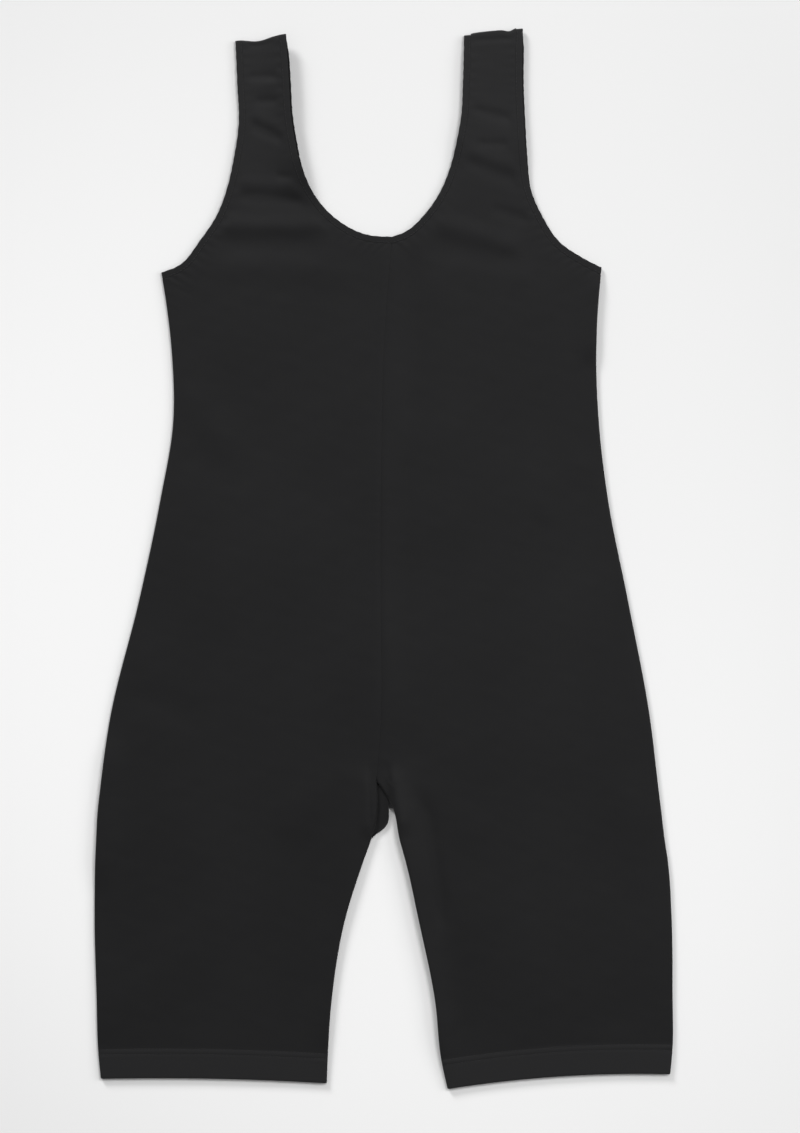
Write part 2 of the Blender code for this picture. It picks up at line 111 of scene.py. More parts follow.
leftSections = [
    ("hem", 54.0, -450.2, 243.2, -437.6, -4.4),
    ("hem stitching", 48.6, -425.2, 245.3, -412.6, -2.2),
    ("low thigh", 43.3, -375.0, 245.2, -373.0, 0),
    ("mid thigh", 29.5, -307.0, 244.4, -306.0, 0),
    ("high thigh", 18.2, -256.0, 241.1, -256.0, 0),
    ("low fork", 13.2, -238.0, 238.4, -238.0, 0),
    ("fork", 7.8, -212.0, 235.4, -213.0, 0),
    ("crotch", -6.3, -188.8, 232.6, -190.0, 0),
    ("hip", -2.6, -138.0, 226.4, -138.0, 0),
    ("high hip", -2.6, -35.0, 207.2, -35.0, 0),
    ("belly", -2.6, 50.0, 190.4, 50.0, 2),
    ("waist", -1.5, 120.0, 182.4, 118.0, 6),
    ("ribs", 0.0, 178.0, 180.3, 174.0, 14),
    ("chest", 3.2, 228.0, 181.7, 213.0, 27),
    ("neck point", 6.8, 273.7, 184.9, 247.4, 40),
    ("low scoop", 17.5, 277.6, 168.0, 256.2, 34),
    ("scoop", 35.0, 293.2, 149.0, 269.4, 22),
    ("high scoop", 47.6, 311.6, 134.2, 291.6, 12),
    ("strap root", 56.2, 332.4, 124.9, 313.0, 6),
    ("low strap", 61.6, 354.0, 120.5, 341.0, 2),
    ("mid strap", 65.6, 377.0, 118.6, 370.0, 0),
    ("high strap", 67.0, 405.0, 117.2, 403.0, 0),
    ("shoulder", 68.0, 446.0, 118.0, 449.4, -1.0),
]
sectionNames = [row[0] for row in rightSections]
crotchAt, neckAt = sectionNames.index("crotch"), sectionNames.index("neck point")
shoulderAt = len(sectionNames) - 1

# soft bells along lines: from x and y, to x and y, bend of the line, width, height
lifts = [  # where an edge of the whole garment stands off the floor, and last the crotch's hollow
    (-79, 485, -64, 296, 0, 18, 10.5),
    (124, 468, 119, 320, 0, 13, 2.2),
    (64, 450, 60, 330, 0, 12, 2.5),
    (4, -160, 52, -460, 0, 14, 5.5),
    (-14, -160, -50, -452, 0, 12, 2.0),
    (-232, -140, -248, -290, 0, 14, 2.5),
    (190, 252, 180, 160, 0, 14, 2.5),
    (-11, -174, -14, -240, 0, 7, 2.0),
    (3, -174, 20, -236, 0, 7, 2.0),
    (-4, -172, 1, -238, 0, 7, -9.0),
]
ragged = [  # where the worn shoulder seams leave their line: x, y, width, shift upwards
    (-108, 441, 9, -1.3),
    (-93, 444, 7, 0.9),
    (-82, 444, 5, 1.3),
    (67, 445, 5, -2.2),
    (106, 448, 4, -1.3),
    (113, 449, 4, 1.4),
]
folds = [  # the folds of the front: right strap, left strap, trunk and legs, shoulder seams
    (-122, 409, -84, 410, 0, 4, -1.1),
    (-124, 402, -84, 400, 1, 7, 0.6),
    (-112, 389, -82, 388, 0, 3.8, -1.0),
    (-118, 372, -78, 353, -1, 5, -1.3),
    (-118, 381, -78, 363, -1, 6, 0.7),
    (-94, 325, -68, 324, 0, 3.8, -0.9),
    (-132, 309, -58, 301, 1, 5.5, -1.3),
    (-134, 320, -58, 313, 1, 7, 1.0),
    (-156, 286, -40, 284, -2, 8, 1.9),
    (-156, 268, -44, 267, -2, 10, -1.0),
    (-160, 248, -10, 240, 4, 12, 0.8),
    (68, 384, 114, 372, 0, 4.2, -1.1),
    (76, 353, 108, 352, 0, 3.8, -0.9),
    (62, 341, 122, 319, -1, 6.5, -1.0),
    (62, 351, 122, 330, -1, 6.5, 0.7),
    (88, 299, 126, 286, 0, 5, -1.0),
    (34, 291, 126, 263, -2, 9, 1.5),
    (32, 272, 122, 245, -2, 12, -0.8),
    (44, 250, 132, 234, 3, 13, 0.8),
    (25, 276, 19, 96, 2, 13, -1.2),
    (60, 262, 44, 60, -3, 20, 1.2),
    (14, 120, 9, -110, 2, 12, -0.9),
    (-176, 150, -126, 84, 3, 15, 0.9),
    (-172, 98, -110, 60, -3, 16, -0.7),
    (176, 96, 126, 28, -3, 17, 0.8),
    (-226, -112, -148, -142, 3, 14, -0.8),
    (-206, -40, -196, -260, 4, 22, 0.9),
    (-10, -172, -98, -240, -4, 18, 0.9),
    (4, -172, 94, -252, 4, 18, 0.9),
    (29, -190, 50, -322, 2, 6, -1.8),
    (194, -40, 212, -250, -4, 20, 1.3),
    (70, 440.5, 114, 443.5, -1, 1.8, -0.7),
    (-122, 436.5, -88, 439.5, -1, 1.8, -0.5),
]


def smooth(share):  # 0 below 0, 1 above 1, an even S between
    share = np.clip(share, 0, 1)
    return share * share * (3 - 2 * share)


def unit(vectors):
    return vectors / np.linalg.norm(vectors, axis=-1, keepdims=True)


def turned(vectors, side):  # plan vectors turned a quarter, clockwise where side is 1
    return side * np.stack([vectors[..., 1], -vectors[..., 0]], axis=-1)


def crossed(one, other):
    return one[..., 0] * other[..., 1] - one[..., 1] * other[..., 0]


# Sum of soft bells. Each is height * exp(-(aside / width)^2), where aside is the distance from a
# line bent like a bow, and it fades to nothing over the line's two end quarters.
def bells(table, places):
    total = np.zeros(places.shape[:-1])
    for fromX, fromY, toX, toY, bend, width, height in table:
        line = np.array([toX - fromX, toY - fromY], float)
        length = np.hypot(*line)
        along = (places - (fromX, fromY)) @ line / length**2
        aside = (places - (fromX, fromY)) @ np.array([-line[1], line[0]]) / length
        aside = aside - bend * 4 * along * (1 - along)
        ends = smooth(2 - 2 * np.abs(2 * along - 1))
        total += height * ends * np.exp(-((aside / width) ** 2))
    return total


# Gentle unevenness, mostly between -1 and 1: the sum of many sine waves of about one length, each
# with its own direction and start, drawn from a seeded generator.
def unevenness(places, length, seed, waves=14, stretch=1.0):
    draw = np.random.default_rng(seed)
    total = np.zeros(places.shape[:-1])
    for _ in range(waves):
        angle, start = draw.uniform(0, np.pi), draw.uniform(0, 2 * np.pi)
        size = length * draw.uniform(0.6, 1.6)
        wave = np.array([np.cos(angle), np.sin(angle) / stretch]) * 2 * np.pi / size
        total += np.sin(places @ wave + start)
    return total / np.sqrt(waves) / 1.6


def middleHeight(places):  # the surface between front and back
    return garment["layer"] + garment["gap"] / 2 + np.maximum(bells(lifts, places), 0)


def nudged(points):  # moves places near a worn shoulder seam along y, by soft bells
    shift = np.zeros(points.shape[:-1])
    for x, y, width, height in ragged:
        aside = (points[..., 0] - x) / width
        above = (points[..., 1] - y) / garment["raggedReach"]
        shift += height * np.exp(-(aside**2) - above**2)
    moved = points.copy()
    moved[..., 1] += shift
    return moved


# Cubic Hermite curve through the points of a chain. Directions at inner points are the weighted
# mean of the two chords, and each break starts a new run. A station counts in points.
def curveThrough(points, breaks, stations):
    steps = np.diff(points, axis=0)
    lengths = np.hypot(steps[:, 0], steps[:, 1])[:, None]
    chords = steps / lengths
    leaving, arriving = chords.copy(), chords.copy()
    for first, last in zip(breaks[:-1], breaks[1:]):
        before, after = slice(first, last - 1), slice(first + 1, last)
        both = lengths[after] + lengths[before]
        between = (lengths[after] * chords[before] + lengths[before] * chords[after]) / both
        leaving[after], arriving[before] = between, between
        leaving[first] = (3 * chords[first] - between[0]) / 2
        arriving[last - 1] = (3 * chords[last - 1] - between[-1]) / 2
    index = np.minimum(stations.astype(int), len(points) - 2)
    part = (stations - index)[:, None]
    span = lengths[index]
    return (
        points[index] * (1 + 2 * part) * (1 - part) ** 2
        + span * leaving[index] * part * (1 - part) ** 2
        + points[index + 1] * (3 - 2 * part) * part**2
        + span * arriving[index] * part**2 * (part - 1)
    )


def seamDistances():  # distance from the fold, and turn, of each column that goes round a seam
    turn = np.linspace(0, np.pi / 2, fineness["seamColumns"])
    return garment["layer"] * (1 - np.cos(turn)), turn


# Where the rows lie, counted in sections: even steps, with close rows at the fold of the hem, at
# its two lines of stitching and round the shoulder. None lies just below the neck point, because
# the row of the neck point itself is moved down there by the edging's width.
def rowStations(inner, outer):
    chains = (inner, outer)
    lengths = np.max([np.linalg.norm(np.diff(c, axis=0), axis=1) for c in chains], axis=0)
    steps = np.where(np.arange(shoulderAt) < neckAt, fineness["bodyStep"], fineness["strapStep"])
    regular = [
        index + np.linspace(0, 1, int(np.ceil(length / step)), endpoint=False)
        for index, (length, step) in enumerate(zip(lengths, steps))
    ]
    whole = np.append(0, np.cumsum(lengths))
    hem = np.concatenate([fineness["hemRows"], np.arange(*fineness["stitchRows"])])
    close = np.concatenate([hem, whole[-1] - seamDistances()[0]])
    stations = np.concatenate([*regular, np.interp(close, whole, np.arange(len(whole)))])
    stations = np.unique(stations)
    stations = stations[np.append(True, np.diff(stations) > 1e-3)]
    below = np.interp([neckAt], np.arange(len(whole)), whole) - fineness["neckRoom"]
    lowEnough = stations < np.interp(below, whole, np.arange(len(whole)))
    return stations[lowEnough | (stations >= neckAt)]


# For each point of an edge, the plan vector that leads 1 mm into the cloth: square to the edge, but
# along the seam that the edge crosses at either end.
def insets(edge, firstFold, lastFold, side):
    along = unit(np.gradient(edge, axis=0))
    vectors = turned(along, side)
    for end, fold in ((0, firstFold), (-1, lastFold)):
        vectors[end] = fold / abs(crossed(along[end], fold))
    return vectors


def slipped(edge):  # the back of a strap slides sideways between its root and the shoulder
    growing, ending = garment["slipReach"]
    share = smooth((edge[:, 1] - garment["strapRoot"]) / growing)
    share = share * smooth((edge[-1, 1] - edge[:, 1]) / ending)
    return edge + np.stack([garment["backSlip"] * share, 0 * share], axis=1)


# One half of the front or the back: its two edges from hem to shoulder, row by row, and the vectors
# that lead into the cloth from the neckline and from the armhole.
def makeHalf(sections, side, back):
    table = np.array([row[1:] for row in sections], float)
    inner, outer = table[:, :2].copy(), table[:, 2:4]
    stations = rowStations(inner, outer)
    if back:
        inner[crotchAt] = garment["backCrotch"]
        if side < 0:
            inner[crotchAt - 1] = garment["backFork"]
    inner = curveThrough(inner, (0, crotchAt, neckAt, shoulderAt), stations)
    outer = curveThrough(table[:, 2:], (0, neckAt, shoulderAt), stations)
    outer, dip = outer[:, :2], outer[:, 2]
    if back:
        inner, outer = slipped(inner), slipped(outer)
    top = np.flatnonzero(stations >= neckAt)
    first = top[0]
    shoulder = unit(outer[-1] - inner[-1])
    half = {"side": side, "back": back, "stations": stations, "dip": dip, "top": top}
    half["inner"], half["outer"] = inner, outer
    downCentre = unit(inner[first - 1] - inner[first])
    downSide = unit(outer[first - 1] - outer[first])
    half["neckInset"] = insets(inner[top], downCentre, shoulder, side)
    half["armInset"] = insets(outer[top], downSide, -shoulder, -side)
    return half


# The plan of a panel: a point is the straight row from inner to outer edge at a share across, hung
# by 4 * dip * share * (1 - share). Columns near an edge keep their distance from it all along.
def panelPlan(half, columns):
    stations, side, dip = half["stations"], half["side"], half["dip"]
    inner, outer = half["inner"].copy(), half["outer"].copy()
    depth = edging["width"] - edging["tuck"]
    centre = (stations >= crotchAt) & (stations <= neckAt)
    inner[half["top"]] += depth * half["neckInset"]
    outer[half["top"]] += depth * half["armInset"]
    inner[centre, 0] += side * garment["gap"] / 2

    hang = np.stack([0 * dip, 4 * dip], axis=1)
    seam, seamTurn = seamDistances()
    steps = np.linspace(0, 1, fineness["edgeColumns"] + 1)[1:]
    share, away, width = {}, {}, {}
    for end, edge, start, toward in (
        ("inner", inner, outer - inner - hang, 1),
        ("outer", outer, inner - outer - hang, -1),
    ):
        along = unit(np.gradient(edge, axis=0))
        lean = np.maximum(np.abs(crossed(unit(start), along)), 0.5)
        width[end] = np.linalg.norm(start, axis=1) * lean
        reach = np.minimum(fineness["edgeReach"], fineness["edgeShare"] * width[end])[:, None]
        flat = seam[-1] + (reach - seam[-1]) * steps
        near = np.hstack([np.broadcast_to(seam, (len(edge), len(seam))), flat])
        share[end] = near / width[end][:, None]
        away[end] = turned(along, -side * toward)
    first, last = share["inner"][:, -1:], 1 - share["outer"][:, -1:]
    between = first + (last - first) * np.linspace(0, 1, columns + 2)[1:-1]
    across = np.hstack([share["inner"], between, 1 - share["outer"][:, ::-1]])
    part = across[:, :, None]
    places = inner[:, None] * (1 - part) + outer[:, None] * part
    places = places - hang[:, None] * part * (1 - part)

    fromInner, fromOuter = across * width["inner"][:, None], (1 - across) * width["outer"][:, None]
    turn = np.full(across.shape, np.pi / 2)
    direction = np.where(part < 0.5, away["inner"][:, None], away["outer"][:, None])
    count, fall = len(seamTurn), np.pi / 2 - seamTurn
    turn[:, :count] -= (stations <= crotchAt)[:, None] * fall
    turn[:, -count:] -= (stations <= neckAt)[:, None] * fall[::-1]
    turn[-count:] = seamTurn[::-1, None]
    direction[-count:] = turned(unit(outer[-1] - inner[-1]), -side)
    return places, fromInner, fromOuter, turn, direction


# the small waves that seams and elastic pull into the cloth beside them
gathers = {
    "length": 8.5,
    "reach": 6.0,
    "elastic": 0.30,  # height beside elastic
    "seam": 0.16,  # height beside a seam
    "drift": 23,  # their length changes over this distance
    "fade": 37,  # and their height over this one
}

# gentle unevenness of the cloth: heights and lengths of its waves
surface = {
    "sway": 0.32,
    "swayLength": 95,
    "ripple": 0.10,
    "rippleLength": 26,
    "rippleStretch": 0.7,
    "back": 0.1,
    "backLength": 40,
    "seamRidge": 0.16,  # the seam allowance under the cloth beside the centre seam
    "seamRidgeAt": 4.2,
    "seamRidgeWidth": 2.2,
}


def travelled(points):  # distance gone along each line of a grid, down its first direction
    steps = np.linalg.norm(np.diff(points, axis=0), axis=-1)
    return np.concatenate([np.zeros_like(steps[:1]), np.cumsum(steps, axis=0)])


# Height of the front above the middle surface: the seam height, less the settling away from seams,
# less the step above the hem, plus folds and unevenness that fade out at the edges, plus the small
# gathers that stitching and elastic pull into the cloth beside them. Then come the centre seam and
# the groove beside the edging, and last a soft lower limit.
def frontHeight(half, places, fromInner, fromOuter, fromHem):
    stations = half["stations"][:, None]
    near = np.minimum(fromInner, fromOuter)
    aboveHem = smooth((fromHem - garment["hemDepth"]) / garment["settleReach"])
    past = smooth((fromHem - garment["hemDepth"] + 0.4) / garment["hemStepWidth"])
    height = garment["layer"] - garment["settle"] * aboveHem * smooth(near / garment["settleReach"])
    height = height - garment["hemStep"] * past * (1 - aboveHem)
    drape = bells(folds, places)
    drape = drape + surface["sway"] * unevenness(places, surface["swayLength"], 3)
    ripples = unevenness(places, surface["rippleLength"], 5, stretch=surface["rippleStretch"])
    drape = drape + surface["ripple"] * ripples
    height = height + (0.25 + 0.75 * aboveHem) * smooth(near / garment["foldReach"]) * drape

    inTop, onCentre = stations > neckAt, (stations > crotchAt) & (stations <= neckAt)
    for name, fromEdge in (("inner", fromInner), ("outer", fromOuter)):
        run = travelled(half[name])[:, None]
        drift = 2.2 * np.sin(run / gathers["drift"])
        beat = np.sin(run * 2 * np.pi / gathers["length"] + drift + half["side"])
        beat = beat * (0.6 + 0.4 * np.sin(run / gathers["fade"] + 1.3))
        amount = np.where(inTop, gathers["elastic"], gathers["seam"])
        height = height + amount * beat * np.exp(-fromEdge / gathers["reach"]) * smooth(fromEdge)
    valley = np.exp(-((fromInner / garment["seamValleyWidth"]) ** 1.3))
    ridge = np.exp(-(((fromInner - surface["seamRidgeAt"]) / surface["seamRidgeWidth"]) ** 2))
    height = height + onCentre * (surface["seamRidge"] * ridge - garment["seamValley"] * valley)
    groove = np.where(inTop, edging["groove"], 0.0)
    height = height - groove * np.exp(-((near / edging["grooveWidth"]) ** 1.5))
    low, softness = garment["foldFloor"], garment["foldSoftness"]
    return low + softness * np.logaddexp(0, (height - low) / softness)


def hemGrooves(fromHem):  # the cloth dips at the hem's two lines of stitching and swells between
    width = stitching["dipWidth"]
    lines = [np.exp(-(((fromHem - line) / width) ** 2)) for line in stitching["hemLines"]]
    middle = np.mean(stitching["hemLines"])
    swell = np.exp(-(((fromHem - middle) / (2 * width)) ** 2))
    return stitching["dip"] * (0.5 * swell - sum(lines))


# The outer and inner surface of a panel, two grids of points. The outer is the plan lifted to its
# height times the sine of its turn, and the inner is the outer moved in by the cloth's thickness.
# The two close in on each other at the fold of the hem.
def panelSurfaces(half):
    back = half["back"]
    columns = fineness["backColumns"] if back else fineness["frontColumns"]
    places, fromInner, fromOuter, turn, direction = panelPlan(half, columns)
    fromHem = travelled(places)
    if back:
        hollows = np.minimum(unevenness(places, surface["backLength"], 11), 0)
        height = garment["layer"] + surface["back"] * hollows * smooth(fromInner / 8)
    else:
        height = frontHeight(half, places, fromInner, fromOuter, fromHem)
        height = height + hemGrooves(fromHem)
    hemPart = 1 - smooth((fromHem - garment["hemDepth"]) / garment["hemEnd"])
    wall = garment["cloth"] + (garment["hemCloth"] - garment["cloth"]) * hemPart
    level = height * np.sin(turn) + garment["gap"] / 2
    normal = np.concatenate([direction * np.cos(turn)[..., None], np.sin(turn)[..., None]], -1)
    outer = np.concatenate([places, level[..., None]], axis=-1)
    inner = outer - wall[..., None] * normal
    ease = 0.45 * wall * np.clip(1 - fromHem / garment["hemRound"], 0, 1) ** 2
    outer, inner = outer - ease[..., None] * normal, inner + ease[..., None] * normal
    for grid in (outer, inner):
        grid[..., 2] = middleHeight(grid[..., :2]) + (-1 if back else 1) * grid[..., 2]
    return nudged(outer), nudged(inner), fromHem


def gridQuads(rows, cells, start=0, closed=False):
    index = start + np.arange(rows * cells).reshape(rows, cells)
    if closed:
        index = np.vstack([np.hstack([index, index[:, :1]]), np.append(index[0], index[0, 0])])
    corners = (index[:-1, :-1], index[1:, :-1], index[1:, 1:], index[:-1, 1:])
    return np.stack(corners, axis=-1).reshape(-1, 4)


def wallShape(outer, inner):  # a closed wall between two like grids
    rows, cells = outer.shape[:2]
    count = rows * cells
    index = np.arange(count).reshape(rows, cells)
    rim = np.concatenate([index[0, :-1], index[:-1, -1], index[-1, :0:-1], index[:0:-1, 0]])
    after = np.roll(rim, -1)
    sides = np.stack([rim, after, after + count, rim + count], axis=-1)
    quads = [gridQuads(rows, cells), gridQuads(rows, cells, count)[:, ::-1], sides]
    return np.vstack([outer.reshape(-1, 3), inner.reshape(-1, 3)]), np.vstack(quads)


def signedVolume(points, quads):
    a, b, c, d = (points[quads[:, corner]] for corner in range(4))
    total = np.einsum("ij,ij->i", a, np.cross(b, c)) + np.einsum("ij,ij->i", a, np.cross(c, d))
    return total.sum() / 6


# Puts points and quads into a mesh object at the origin, faces outwards, riding on the one body.
def addPiece(name, points, quads, material, slotName, doubled=None):
    if signedVolume(points, quads) < 0:
        quads = quads[:, ::-1]
    mesh = bpy.data.meshes.new(name)
    mesh.from_pydata((points * mm).tolist(), [], quads.tolist())
    mesh.shade_smooth()
    if doubled is not None:
        shares = mesh.attributes.new("doubled", "FLOAT", "POINT")
        shares.data.foreach_set("value", doubled.astype(np.float32))
    mesh.materials.append(material)
    piece = bpy.data.objects.new(name, mesh)
    bpy.context.scene.collection.objects.link(piece)
    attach(piece, "root")
    print(f"  {name}: {len(quads)} quads")
    return piece


# the turned elastic round neck and armholes
edging = {
    "width": 6.0,
    "sides": 22,  # points round its section
    "squareness": 5.5,  # higher is flatter with tighter corners
    "groove": 0.08,  # depth of the line between edging and panel
    "grooveWidth": 0.7,
    "tuck": 0.25,  # how far the panel's cut edge goes into the turned edging
    "swell": 0.10,  # how much it swells between stitches
    "waver": 0.12,  # how much its free edge waves
    "stitchAt": 0.62,  # its stitching, from its middle towards the cloth
    "stitchHeight": 0.97,  # and up from its middle, as a share of half its thickness
    "foldTurn": 78,  # degrees, half the turn over the shoulder or under the arm
    "foldSteps": 11,
    "foldRoom": 0.6,  # least distance from a row to the fold
}


# Middle, half width and half thickness of the edging along an edge, at the height of one layer.
def sectionFrames(edge, inset, upwards):
    ends = []
    for depth in (0, edging["width"]):
        plan = edge + depth * inset
        height = middleHeight(plan) + upwards * (garment["gap"] + garment["layer"]) / 2
        ends.append(np.concatenate([plan, height[:, None]], axis=1))
    middle = (ends[0] + ends[1]) / 2
    rise = np.broadcast_to([0, 0, upwards * garment["layer"] / 2], middle.shape)
    return np.stack([middle, (ends[1] - ends[0]) / 2, rise])


# The same where it folds over from front to back: the section turns nearly half round the fold.
def wrapFrames(edge, inset, away):
    middle, half, _ = sectionFrames(edge[None], inset[None], 0)
    turn = edging["foldTurn"]
    angle = np.radians(np.linspace(turn, -turn, edging["foldSteps"]))[:, None]
    radial = np.append(away, 0) * np.cos(angle) + np.array([0, 0, 1]) * np.sin(angle)
    reach = (garment["gap"] + garment["layer"]) / 2
    halves = np.repeat(half, len(angle), axis=0)
    return np.stack([middle + radial * reach, halves, radial * garment["layer"] / 2])


# An edging's outline from the body to the shoulder, stopped short of its folds by the room that a
# fold needs, with the directions in which it folds over at the shoulder and under the arm.
def edgeRun(half, which):
    neck = which == "neck"
    edge = half["inner" if neck else "outer"][half["top"]]
    inset = half["neckInset" if neck else "armInset"]
    room = garment["layer"] + garment["gap"] / 2
    along = unit(np.gradient(edge, axis=0))
    run = travelled(edge)
    underArm, atShoulder = (room / abs(crossed(along[end], unit(inset[end]))) for end in (0, -1))
    keep = run[-1] - run > atShoulder + edging["foldRoom"]
    if not neck:
        keep &= run > underArm + edging["foldRoom"]
    edges = [edge[keep], edge[-1:] - along[-1] * atShoulder]
    vectors = [inset[keep], inset[-1:]]
    if not neck:
        edges.insert(0, edge[:1] + along[0] * underArm)
        vectors.insert(0, inset[:1])
    over = turned(unit(inset[-1]), -half["side"] if neck else half["side"])
    under = turned(unit(inset[0]), -half["side"])
    return np.vstack(edges), np.vstack(vectors), over, under


def armholeFrames(front, back):
    edge, inset, overShoulder, underArm = edgeRun(front, "arm")
    backEdge, backInset = edgeRun(back, "arm")[:2]
    parts = [
        sectionFrames(edge[::-1], inset[::-1], 1),
        wrapFrames(edge[0], inset[0], underArm),
        sectionFrames(backEdge, backInset, -1),
        wrapFrames(edge[-1], inset[-1], overShoulder)[:, ::-1],
    ]
    return np.concatenate(parts, axis=1)


def neckFrames(halves):
    parts = []
    rounds = (("front", "right", "left", 1), ("back", "left", "right", -1))
    for layer, first, second, upwards in rounds:
        edge, inset = edgeRun(halves[layer, first], "neck")[:2]
        otherEdge, otherInset, over, _ = edgeRun(halves[layer, second], "neck")
        inset[0] = (inset[0] + otherInset[0]) / 2
        parts.append(sectionFrames(edge[::-1], inset[::-1], upwards))
        parts.append(sectionFrames(otherEdge[1:], otherInset[1:], upwards))
        wrap = wrapFrames(otherEdge[-1], otherInset[-1], over)
        parts.append(wrap if upwards > 0 else wrap[:, ::-1])
    return np.concatenate(parts, axis=1)


# The edging's surface: a superellipse section carried round a closed path. It swells a little
# between its stitches, and its free edge waves, by sines of the distance gone along the path.
def edgingShape(frames):
    middle, half, rise = frames
    middle = nudged(middle)
    run = travelled(middle)[:, None]
    turns = max(1, round(run[-1, 0] / gathers["length"]))
    beat = np.sin(run / run[-1] * 2 * np.pi * turns + 1.7 * np.sin(run / run[-1] * 2 * np.pi * 9))
    angle = np.linspace(0, 2 * np.pi, edging["sides"], endpoint=False)
    power = 2 / edging["squareness"]
    across = np.sign(np.cos(angle)) * np.abs(np.cos(angle)) ** power
    up = np.sign(np.sin(angle)) * np.abs(np.sin(angle)) ** power
    free = np.clip(-across, 0, 1)[None, :] * edging["waver"] / (edging["width"] / 2) * beat
    acrossAll = (across[None, :] + free)[..., None]
    upAll = (up[None, :] * (1 - edging["swell"] * (0.5 + 0.5 * beat)))[..., None]
    points = middle[:, None] + acrossAll * half[:, None] + upAll * rise[:, None]
    quads = gridQuads(len(middle), edging["sides"], closed=True)
    return points.reshape(-1, 3), quads


# the thread, and the lines that it is sewn along
stitching = {
    "hemLines": (20.5, 25.0),  # distances from the leg opening
    "dip": 0.14,
    "dipWidth": 0.8,
    "pitch": 3.0,
    "length": 2.3,
    "thread": 0.17,  # half its thickness
    "lift": 0.2,  # how far its middle stands off the cloth, as a share of that
    "darkColour": (0.006, 0.006, 0.0065, 1),
    "lightColour": (0.016, 0.016, 0.0165, 1),
    "grain": 2600,
    "roughness": 0.5,
    "specular": 0.35,
}


# Stitches along a path: each is a small spindle, thick in the middle and closed at both ends, laid
# along the path at even spacing and sunk nearly half into the cloth.
def stitchShape(path, up):
    run = travelled(path)
    count = max(2, int(run[-1] / stitching["pitch"]))
    at = (np.arange(count) + 0.5) * run[-1] / count
    reach = stitching["length"] / 2

    def pointsAt(values, where):
        return np.stack([np.interp(where, run, values[:, axis]) for axis in range(3)], axis=1)

    first, last = pointsAt(path, at - reach), pointsAt(path, at + reach)
    middle, along = (first + last) / 2, (last - first) / 2
    lift = unit(pointsAt(up, at))
    aside = unit(np.cross(along, lift))
    rings, sides = 5, 6
    place = np.array([-1, -0.72, 0, 0.72, 1])[:, None, None]
    size = np.array([0.25, 0.85, 1, 0.85, 0.25])[:, None, None]
    angle = np.linspace(0, 2 * np.pi, sides, endpoint=False)[:, None]
    middle, along, aside, lift = (part[:, None, None] for part in (middle, along, aside, lift))
    circle = np.cos(angle) * aside + (np.sin(angle) + stitching["lift"]) * lift
    points = middle + place * along + stitching["thread"] * size * circle
    index = np.arange(rings * sides).reshape(rings, sides)
    index = np.hstack([index, index[:, :1]])
    corners = (index[:-1, :-1], index[1:, :-1], index[1:, 1:], index[:-1, 1:])
    faces = [np.stack(corners, axis=-1).reshape(-1, 4)]
    for cap in (index[0, :sides], index[-1, sides - 1 :: -1]):
        faces += [cap[[0, 1, 2, 3]][None], cap[[3, 4, 5, 0]][None]]
    starts = np.arange(count) * rings * sides
    quads = np.vstack(faces) + starts[:, None, None]
    return points.reshape(-1, 3), quads.reshape(-1, 4)


def joined(shapes):
    starts = np.cumsum([0] + [len(points) for points, _ in shapes[:-1]])
    points = np.vstack([points for points, _ in shapes])
    return points, np.vstack([quads + start for (_, quads), start in zip(shapes, starts)])


def hemPaths(outer, fromHem, upwards):  # a line across a panel at each distance from its hem
    paths = []
    for line in stitching["hemLines"]:
        row = np.argmin(np.abs(fromHem - line), axis=0)
        path = outer[row, np.arange(outer.shape[1])][2:-2]
        paths.append((path, np.broadcast_to([0.0, 0.0, upwards], path.shape)))
    return paths


# Wraps a node's output, so that sums and products are written as Python and each adds a Math node.
class Wire:
    def __init__(self, tree, output):
        self.tree, self.output = tree, output

    # any node: its type, its settings, then the values or wires of its sockets by name or number
    def node(self, kind, settings=None, sockets=None, out=0):
        made = self.tree.nodes.new(kind)
        for name, value in (settings or {}).items():
            setattr(made, name, value)
        for name, value in (sockets or {}).items():
            if isinstance(value, Wire):
                self.tree.links.new(value.output, made.inputs[name])
            else:
                made.inputs[name].default_value = value
        return Wire(self.tree, made.outputs[out])

    def math(self, operation, first, second=0.0):
        return self.node("ShaderNodeMath", {"operation": operation}, {0: first, 1: second})

    def sine(self):
        return self.math("SINE", self)

    def noise(self, scale, detail):  # at the places that this wire carries
        return self.node("ShaderNodeTexNoise", {}, {"Vector": self, "Scale": scale, "Detail": detail})

    def mix(self, low, high, blend="MIX"):  # from one colour to the other as this wire goes 0 to 1
        settings = {"data_type": "RGBA", "blend_type": blend}
        return self.node("ShaderNodeMix", settings, {0: self, 6: low, 7: high}, 2)

    def smoothstep(self, low, high):
        span = {"Value": self, "From Min": low, "From Max": high}
        return self.node("ShaderNodeMapRange", {"interpolation_type": "SMOOTHSTEP"}, span)

    def parts(self):  # x and y of the places that this wire carries
        return [self.node("ShaderNodeSeparateXYZ", {}, {0: self}, axis) for axis in range(2)]

    def into(self, socket):
        self.tree.links.new(self.output, socket)

    def __add__(self, other):
        return self.math("ADD", self, other)

    def __sub__(self, other):
        return self.math("SUBTRACT", self, other)

    def __mul__(self, other):
        return self.math("MULTIPLY", self, other)

    def __rsub__(self, other):
        return self.math("SUBTRACT", other, self)

    __radd__, __rmul__ = __add__, __mul__


def newMaterial(name):  # a new material, its shader's sockets, and the places on the object
    material = bpy.data.materials.new(name)
    material.use_nodes = True
    tree = material.node_tree
    place = Wire(tree, tree.nodes.new("ShaderNodeTexCoord").outputs["Object"])
    return material, tree.nodes["Principled BSDF"].inputs, place


